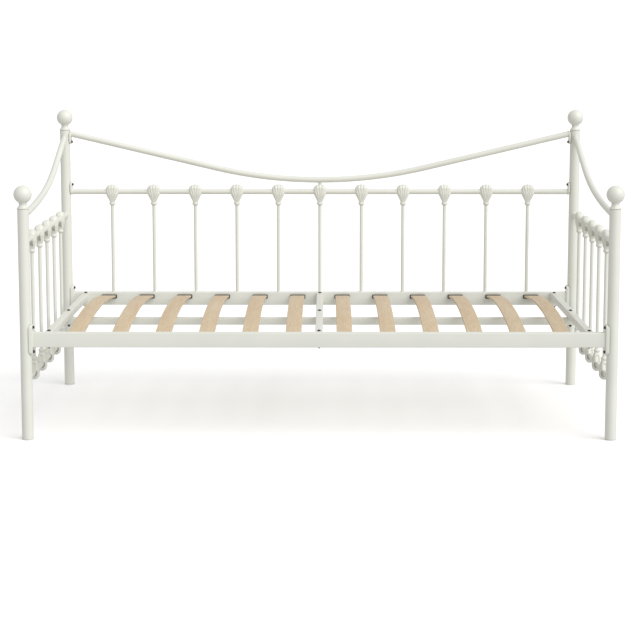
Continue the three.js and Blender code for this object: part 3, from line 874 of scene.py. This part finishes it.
def bar_bolt(node):
    """A bolt down through a cross bar, with a nut underneath."""
    low, high = span_of(node)
    head_height = 3.5 * MM
    nut_height = 5 * MM
    tail = 4 * MM
    radius = 3 * MM
    top = high.z - head_height
    nut_top = low.z + tail + nut_height - top
    head = button_head(5.4 * MM, head_height)
    smooth = moved(rod(radius, -nut_top, 24), (0, 0, nut_top))
    thread = threaded_rod(radius, tail + nut_height - 0.4 * MM, 1 * MM, nut_top)
    nut = moved(hex_nut(5.75 * MM, nut_height), (0, 0, nut_top))
    show_turned(joined([head, smooth, thread, nut]), f"{node}_and_nut", ZINC, node, top)


# -------- back panel

def sag_height(x):
    """The sagging rail's centre line: an arc in the middle, then straight."""
    reach = abs(x)
    if reach <= SAG_ARC_HALF:
        return SAG_LOW + SAG_ARC_RADIUS - math.sqrt(SAG_ARC_RADIUS ** 2 - reach ** 2)
    rise = math.sqrt(SAG_ARC_RADIUS ** 2 - SAG_ARC_HALF ** 2)
    slope = SAG_ARC_HALF / rise
    return SAG_LOW + SAG_ARC_RADIUS - rise + (reach - SAG_ARC_HALF) * slope


def end_welds(face, y, height, radius, seed):
    """The beads where a back rail meets the faces of its two saddle plates."""
    beads = []
    for side in (-1, 1):
        place = (side * (face - 0.2 * MM), y, height)
        beads.append(ring_weld(place, (side, 0, 0), radius + 0.4 * MM, RAIL_BEAD, seed + side))
    return beads


def top_rail_piece():
    """The back's sagging rail, with a saddle plate at each end."""
    node = "back_top_rail"
    post, _ = post_at("back", "right")
    face = post.x - PLATE_FACE
    reach = face + MM
    steps = 120
    points = []
    for i in range(steps + 1):
        x = -reach + 2 * reach * i / steps
        points.append((x, post.y, sag_height(x)))
    plate_top = sag_height(reach) + PLATE_TOP_ABOVE_TOP_RAIL
    meshes = [sweep(points, RAIL_RADIUS, 36)]
    meshes += saddle_plates("back", plate_top - SHORT_PLATE_HEIGHT, plate_top, SHORT_PLATE_WIDTH)
    meshes += end_welds(face, post.y, sag_height(face), RAIL_RADIUS, 40)
    show_metal(meshes, "back_top_rail_tube", node)


def back_rail_piece(node, y, height):
    """The back's straight rail, with a saddle plate at each end."""
    post, _ = post_at("back", "right")
    face = post.x - PLATE_FACE
    reach = face + 0.5 * MM
    meshes = [laid(rod(GRILLE_RAIL_RADIUS, 2 * reach, 36), (1, 0, 0), (-reach, y, height))]
    plate_low = height - GRILLE_RAIL_RADIUS
    meshes += saddle_plates("back", plate_low, plate_low + SHORT_PLATE_HEIGHT, SHORT_PLATE_WIDTH)
    meshes += end_welds(face, y, height, GRILLE_RAIL_RADIUS, 50)
    show_metal(meshes, "back_rail_tube", node)


def back_spindle_piece(node, number, place, top):
    """A spindle welded onto the back side rail at place."""
    x, y, foot = place
    sunk = foot - 0.3 * MM
    spindle = moved(rod(SPINDLE_RADIUS, top - sunk, 28), (x, y, sunk))
    centre = (x, y, foot + 0.3 * MM)
    bead = ring_weld(centre, (0, 0, 1), SPINDLE_RADIUS + 0.3 * MM, SPINDLE_BEAD, 59 + number)
    show_metal([spindle, bead], f"back_spindle_{number:02d}", node)


def middle_stub_piece(node, y, rail_height):
    """The short upright between the middle casting and the sagging rail."""
    low = rail_height + SHELL_TOP - 2.5 * MM
    high = sag_height(0) - RAIL_RADIUS + 0.5 * MM
    stub = moved(rod(SPINDLE_RADIUS, high - low, 28), (0, y, low))
    bead = ring_weld((0, y, high - 0.7 * MM), (0, 0, 1), SPINDLE_RADIUS + 0.2 * MM, STUB_BEAD, 77)
    show_metal([stub, bead], "back_middle_stub", node)


def back_grille_pieces():
    node = "back_grille"
    low, high = span_of(node)
    y = (low.y + high.y) / 2
    rail_height = high.z - PLATE_TOP_ABOVE_BACK_RAIL
    spindle_top = rail_height + CASTING_BOTTOM + SPINDLE_BITE
    back_rail_piece(node, y, rail_height)
    for i in range(BACK_SPINDLES):
        x = (i - (BACK_SPINDLES - 1) / 2) * BACK_SPINDLE_PITCH
        back_spindle_piece(node, i + 1, (x, y, low.z), spindle_top)
        casting_piece(f"back_casting_{i + 1:02d}", node, (x, y, rail_height), "x", 1)
    middle_stub_piece(node, y, rail_height)


# -------- end panels

def sweep_rail_piece(side_name, side):
    """An end's top rail: a cubic curve from the back post down to the front post."""
    node = f"sweep_rail_{side_name}"
    back, back_radius = post_at("back", side_name)
    front, front_radius = post_at("front", side_name)
    x = back.x
    reach = back.y - back_radius
    start = Vector((x, reach, SWEEP_BACK_HEIGHT))
    first = Vector((x, SWEEP_BACK_PULL[0], SWEEP_BACK_HEIGHT + SWEEP_BACK_PULL[1]))
    second = Vector((x, SWEEP_FRONT_PULL[0], SWEEP_FRONT_HEIGHT + SWEEP_FRONT_PULL[1]))
    end = Vector((x, -reach, SWEEP_FRONT_HEIGHT))
    points = []
    steps = 90
    for i in range(steps + 1):
        t = i / steps
        u = 1 - t
        points.append(start * u ** 3 + first * (3 * u * u * t) + second * (3 * u * t * t) + end * t ** 3)
    back_run = (points[0] - points[1]).normalized()
    front_run = (points[-1] - points[-2]).normalized()
    bite = 1.6 * MM
    path = [start + back_run * bite, *points, end + front_run * bite]
    run_up = 40 * MM
    meshes = [sweep(path, RAIL_RADIUS, 36)]
    meshes.append(post_weld(start - back_run * run_up, back_run, back, back_radius, 11 + side))
    meshes.append(post_weld(end - front_run * run_up, front_run, front, front_radius, 21 + side))
    show_metal(meshes, f"{node}_tube", node)


def end_rail_piece(node, side_name, side, level, height):
    """A straight rail between an end's two posts, welded to both."""
    back, radius = post_at("back", side_name)
    front, _ = post_at("front", side_name)
    reach = back.y - radius + 1.2 * MM
    middle = (back.x, 0, height)
    meshes = [laid(rod(GRILLE_RAIL_RADIUS, 2 * reach, 36), (0, 1, 0), (back.x, -reach, height))]
    meshes.append(post_weld(middle, (0, 1, 0), back, radius, 31 + side, GRILLE_RAIL_RADIUS))
    meshes.append(post_weld(middle, (0, -1, 0), front, radius, 35 + side, GRILLE_RAIL_RADIUS))
    show_metal(meshes, f"end_{side_name}_{level}_rail", node)


def end_pieces(side_name, side):
    """An end's two rails, and its spindles with a casting at each end."""
    node = f"end_grille_{side_name}"
    low, high = span_of(node)
    upper, lower = high.z - CASTING_TOP, low.z + CASTING_TOP
    end_rail_piece(node, side_name, side, "upper", upper)
    end_rail_piece(node, side_name, side, "lower", lower)
    back, _ = post_at("back", side_name)
    x = back.x
    pitch = 2 * back.y / (END_SPINDLES + 1)
    bottom = lower - CASTING_BOTTOM - SPINDLE_BITE
    top = upper + CASTING_BOTTOM + SPINDLE_BITE
    for i in range(END_SPINDLES):
        y = (i - (END_SPINDLES - 1) / 2) * pitch
        spindle = moved(rod(SPINDLE_RADIUS, top - bottom, 28), (x, y, bottom))
        show_metal([spindle], f"end_{side_name}_spindle_{i + 1}", node)
        casting_piece(f"end_{side_name}_casting_upper_{i + 1}", node, (x, y, upper), "y", 1)
        casting_piece(f"end_{side_name}_casting_lower_{i + 1}", node, (x, y, lower), "y", -1)


# -------- base

def slat_nodes():
    return sorted(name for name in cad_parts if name.startswith("slat_"))


def slot_pocket(slat, row, inner_face):
    """What is cut from a side rail's inner face to let in a slat's socket."""
    low, high = span_of(slat)
    x = (low.x + high.x) / 2
    z = high.z - SLAT_CAMBER - SLAT_THICKNESS / 2
    half_width, half_height = SLOT_WIDTH / 2, SLOT_HEIGHT / 2
    corners = ((1, 1), (-1, 1), (-1, -1), (1, -1))
    rings = []
    for y in (inner_face - row * MM, inner_face + row * SLOT_DEPTH):
        rings.append([(x + side * half_width, y, z + up * half_height) for side, up in corners])
    return finish_mesh(loft(rings), "pocket")


def bracket_meshes(x, inner_face, middle, row):
    """A closed box bracket on a side rail's inner face, with its weld."""
    end = inner_face - row * BRACKET_REACH
    outline = rounded_rectangle(BRACKET_WIDTH, BRACKET_HEIGHT, BRACKET_CORNER, 4)
    rings = []
    for y, grow in (
        (inner_face + row * 0.4 * MM, 1.0),
        (end + row * 1.2 * MM, 1.0),
        (end + row * 0.4 * MM, 0.975),
        (end, 0.925),
    ):
        rings.append([(x + p[0] * grow, y, middle + p[1] * grow) for p in outline])
    width, height = BRACKET_WIDTH + 0.6 * MM, BRACKET_HEIGHT + 0.4 * MM
    seam = rounded_rectangle(width, height, BRACKET_CORNER + 0.2 * MM, 5)
    points = [(x + p[0], inner_face - row * 0.3 * MM, middle + p[1]) for p in resampled(seam, 64)]
    return [loft(rings), weld(points, BRACKET_BEAD, int(x * 1000) + row)]


def side_rail_piece(row_name, row):
    """A slotted box tube with a saddle plate at each end and a bracket for each cross bar."""
    node = f"side_rail_{row_name}"
    low, high = span_of(node)
    middle = (low.z + high.z) / 2
    post, _ = post_at(row_name, "right")
    y = post.y
    face = post.x - PLATE_FACE
    inner_face = y - row * SIDE_RAIL_DEPTH / 2
    reach = face + 0.4 * MM
    section = rounded_rectangle(SIDE_RAIL_DEPTH, SIDE_RAIL_HEIGHT, BOX_CORNER, 5)
    rings = [[(x, y + p[0], middle + p[1]) for p in section] for x in (-reach, reach)]
    pockets = [slot_pocket(slat, row, inner_face) for slat in slat_nodes()]
    meshes = [cut(finish_mesh(loft(rings), "rail"), pockets)]
    meshes += saddle_plates(row_name, low.z, high.z, TALL_PLATE_WIDTH)
    seam = rounded_rectangle(SIDE_RAIL_DEPTH + 0.8 * MM, SIDE_RAIL_HEIGHT + 0.8 * MM, 3 * MM, 6)
    for side in (-1, 1):
        points = [(side * (face - 0.4 * MM), y + p[0], middle + p[1]) for p in resampled(seam, 90)]
        meshes.append(weld(points, RAIL_BEAD, 80 + side + 5 * row))
    bracket_middle = middle - SIDE_RAIL_HEIGHT / 2 + BRACKET_HEIGHT / 2
    for bar in BARS:
        meshes += bracket_meshes(centre_of(f"cross_bar_{bar}").x, inner_face, bracket_middle, row)
    show_metal(meshes, f"{node}_box_tube", node, 35)


def resampled(outline, count):
    """Evenly spaced points round a closed outline."""
    points = [Vector((*p, 0)) for p in outline]
    points.append(points[0])
    lengths = [0.0]
    for a, b in zip(points, points[1:]):
        lengths.append(lengths[-1] + (b - a).length)
    result = []
    index = 0
    for i in range(count):
        want = lengths[-1] * i / count
        while lengths[index + 1] < want:
            index += 1
        step = lengths[index + 1] - lengths[index]
        t = (want - lengths[index]) / step if step else 0
        point = points[index].lerp(points[index + 1], t)
        result.append((point.x, point.y))
    return result


def square_tube_piece(node, axis):
    """A bar of square tube along 'x' or 'y', open at both ends."""
    low, high = span_of(node)
    along, across = (0, 1) if axis == "x" else (1, 0)
    width, height = high[across] - low[across], high.z - low.z
    centre = (low + high) / 2
    outer = rounded_rectangle(width, height, BOX_CORNER, 5)
    inner = rounded_rectangle(width - 2 * BAR_WALL, height - 2 * BAR_WALL, BAR_INNER_CORNER, 5)
    start, end = low[along], high[along]
    rings = []
    for outline, place in ((outer, start), (outer, end), (inner, end), (inner, start)):
        ring = []
        for side, up in outline:
            point = centre + Vector((0, 0, up))
            point[across] += side
            point[along] = place
            ring.append(point)
        rings.append(ring)
    show_metal([loft(rings, closed_loop=True)], f"{node}_square_tube", node, 35)


def slat_arc(node):
    """A slat's middle in x, half its span, its top face's radius and that arc's centre height."""
    low, high = span_of(node)
    span = (high.y - low.y) / 2
    radius = (span ** 2 + SLAT_CAMBER ** 2) / (2 * SLAT_CAMBER)
    return (low.x + high.x) / 2, span, radius, high.z - radius


def mark_section(mesh, middle_radius, centre_z):
    """Maps which faces are the slat's edges, and how deep in its thickness each corner lies."""
    layer = mesh.loops.layers.uv.new("section")
    for face in mesh.faces:
        on_edge = 1.0 if abs(face.normal.x) > 0.5 else 0.0
        for loop in face.loops:
            place = loop.vert.co
            radius = math.hypot(place.y, place.z - centre_z)
            depth = (radius - middle_radius) / SLAT_THICKNESS + 0.5
            loop[layer].uv = (on_edge, depth * SLAT_SHEETS * 2 + 1)


def slat_piece(node):
    """A bowed slat with eased edges. Its section map marks the laminated edge faces."""
    x, span, outer, centre_z = slat_arc(node)
    middle_radius = outer - SLAT_THICKNESS / 2
    swing = math.asin(span / outer)
    section = rounded_rectangle(SLAT_WIDTH, SLAT_THICKNESS, SLAT_CORNER, 4)
    steps = 56
    rings = []
    for i in range(steps + 1):
        angle = -swing + 2 * swing * i / steps
        ring = []
        for across, up in section:
            radius = middle_radius + up
            ring.append((x + across, radius * math.sin(angle), centre_z + radius * math.cos(angle)))
        rings.append(ring)
    mesh = loft(rings)
    mark_section(mesh, middle_radius, centre_z)
    show(finish_mesh(mesh, node, 35), f"{node}_beech", BEECH, [node])


def socket_sleeve(row):
    """A socket's sleeve, centred on the origin, with a soft rim towards the bed's middle."""
    outer = rounded_rectangle(*SOCKET_OUTLINE, 5)
    inner = rounded_rectangle(SLAT_WIDTH + SOCKET_ROOM, SLAT_THICKNESS + SOCKET_ROOM, 1.2 * MM, 5)
    half = SOCKET_LENGTH / 2
    lip = 0.8 * MM
    rings = []
    for along, shape, grow in (
        (-half, outer, 1.0),
        (half - lip, outer, 1.0),
        (half, outer, 0.975),
        (half, inner, 1.02),
        (half - lip, inner, 1.0),
        (-half, inner, 1.0),
    ):
        rings.append([(p[0] * grow, -row * along, p[1] * grow) for p in shape])
    return loft(rings, closed_loop=True)


def socket_flange(row, out):
    """The ring round a sleeve that lies on the side rail's inner face, this far out."""
    outer = rounded_rectangle(*SOCKET_OUTLINE, 5)
    flange = rounded_rectangle(*FLANGE_OUTLINE, 5)
    back, front = -out - 0.3 * MM, -out + 1.5 * MM
    rings = []
    for along, shape in ((back, flange), (front, flange), (front, outer), (back, outer)):
        rings.append([(p[0], -row * along, p[1]) for p in shape])
    return bevel(loft(rings, closed_loop=True), 0.4 * MM, 2, 60)


def slat_sockets(node):
    """The two black sockets that hold a slat's ends in the side rails."""
    x, span, outer, centre_z = slat_arc(node)
    radius = outer - SLAT_THICKNESS / 2
    angle = math.asin((span - SOCKET_LENGTH / 2) / outer)
    for row_name, row in ROWS:
        post, _ = post_at(row_name, "left")
        inner_face = post.y - row * SIDE_RAIL_DEPTH / 2
        centre = Vector((x, row * radius * math.sin(angle), centre_z + radius * math.cos(angle)))
        flange = socket_flange(row, abs(inner_face) - abs(centre.y))
        data = finish_mesh(joined([socket_sleeve(row), flange]), "socket", 35)
        place = Matrix.Translation(centre) @ Matrix.Rotation(-row * angle, 4, "X")
        show(data, f"{node}_socket_{row_name}", SOCKET, (), place)


# -------- assembly

for row_name, row in ROWS:
    for side_name, side in SIDES:
        corner = f"{row_name}_{side_name}"
        post_piece(corner)
        finial_piece(corner)
        foot_piece(corner)

for side_name, side in SIDES:
    sweep_rail_piece(side_name, side)
    end_pieces(side_name, side)

top_rail_piece()
back_grille_pieces()

for row_name, row in ROWS:
    side_rail_piece(row_name, row)

square_tube_piece("middle_bar", "x")
for bar in BARS:
    square_tube_piece(f"cross_bar_{bar}", "y")
    for spot in ("front", "middle", "back"):
        bar_bolt(f"bar_bolt_{bar}_{spot}")

for node in slat_nodes():
    slat_piece(node)
    slat_sockets(node)

for node in sorted(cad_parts):
    if node.startswith("saddle_bolt_"):
        saddle_bolt(node, -1 if "_left_" in node else 1)


# -------- studio

FLOOR_FLAT = 14.0
FLOOR_REACH = 90.0
FLOOR_RISE = 12.0
SKY_STRENGTH = 0.65
SUN_STRENGTH = 2.15
SUN_SPREAD = 60  # degrees
SUN_TOWARDS = (0.60, -0.50, 0.62)
CAMERA_PLACE = (0.022, -6.129, 1.308)
CAMERA_PITCH = 7.373  # degrees down from level
CAMERA_TURN = 0.188  # degrees towards the left
CAMERA_LENS = 97.0031  # millimetres, on a 36 mm sensor
CAMERA_SHIFT = -0.08


def floor_mesh():
    """A wide disc, flat under the bed and lifting gently towards its far rim."""
    profile = [(FLOOR_FLAT / 2, 0), (FLOOR_FLAT, 0)]
    steps = 24
    for i in range(1, steps + 1):
        t = i / steps
        profile.append((FLOOR_FLAT + (FLOOR_REACH - FLOOR_FLAT) * t, FLOOR_RISE * t * t))
    segments = 96
    mesh = bmesh.new()
    rings = []
    for radius, height in profile:
        rings.append([mesh.verts.new(point) for point in circle(radius, height, segments)])
    mesh.faces.new(rings[0])
    for inner, outer in zip(rings, rings[1:]):
        for i in range(segments):
            j = (i + 1) % segments
            mesh.faces.new((inner[i], inner[j], outer[j], outer[i]))
    mesh.normal_update()
    return finish_mesh(mesh, "studio_floor")


def add_floor():
    floor = bpy.data.objects.new("studio_floor", floor_mesh())
    floor.data.materials.append(studio_floor())
    bpy.context.collection.objects.link(floor)
    floor.visible_diffuse = False
    floor.visible_glossy = False


def add_light():
    """An even white sky and one broad, soft key light."""
    world = bpy.data.worlds.new("studio_sky")
    world.use_nodes = True
    sky = world.node_tree.nodes["Background"]
    sky.inputs["Color"].default_value = (1.0, 1.0, 1.0, 1)
    sky.inputs["Strength"].default_value = SKY_STRENGTH
    bpy.context.scene.world = world
    data = bpy.data.lights.new("soft_key", "SUN")
    data.energy = SUN_STRENGTH
    data.angle = math.radians(SUN_SPREAD)
    light = bpy.data.objects.new("soft_key", data)
    light.rotation_euler = Vector(SUN_TOWARDS).to_track_quat("Z", "Y").to_euler()
    bpy.context.collection.objects.link(light)


def add_camera():
    data = bpy.data.cameras.new("camera")
    data.sensor_width = 36
    data.lens = CAMERA_LENS
    data.shift_y = CAMERA_SHIFT
    made = bpy.data.objects.new("camera", data)
    made.location = CAMERA_PLACE
    made.rotation_euler = (math.radians(90 - CAMERA_PITCH), 0, math.radians(CAMERA_TURN))
    bpy.context.collection.objects.link(made)
    bpy.context.scene.camera = made


add_floor()
add_light()
add_camera()
bpy.context.scene.view_settings.view_transform = "Standard"
